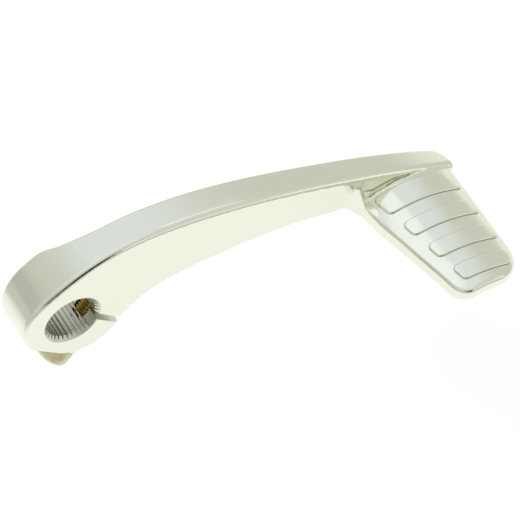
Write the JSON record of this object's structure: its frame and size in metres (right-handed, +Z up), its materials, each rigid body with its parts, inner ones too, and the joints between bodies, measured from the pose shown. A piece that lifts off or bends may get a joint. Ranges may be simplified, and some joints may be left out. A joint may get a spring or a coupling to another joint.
{
  "type": "kick start lever",
  "caption": "Kick start lever: a splined, split clamp boss with a pinch bolt, a curved tapering arm and a fixed foot pedal with raised pads, bright metal cast in one.",
  "frame": {"origin": "middle of the splined bore, half way along the boss", "axes": "+Y along the bore axis, towards the engine side; +X from the bore to the arm's end; +Z up, the side that the foot treads on; the pedal stands out towards -Y"},
  "size_m": [0.1337, 0.0561, 0.0479],
  "materials": {
    "bright_metal": "polished bright plating",
    "yellow_zinc": "yellow zinc plated steel"
  },
  "bodies": {
    "root": {"lever": "bright_metal", "pinch_bolt": "yellow_zinc"}
  },
  "joints": []
}
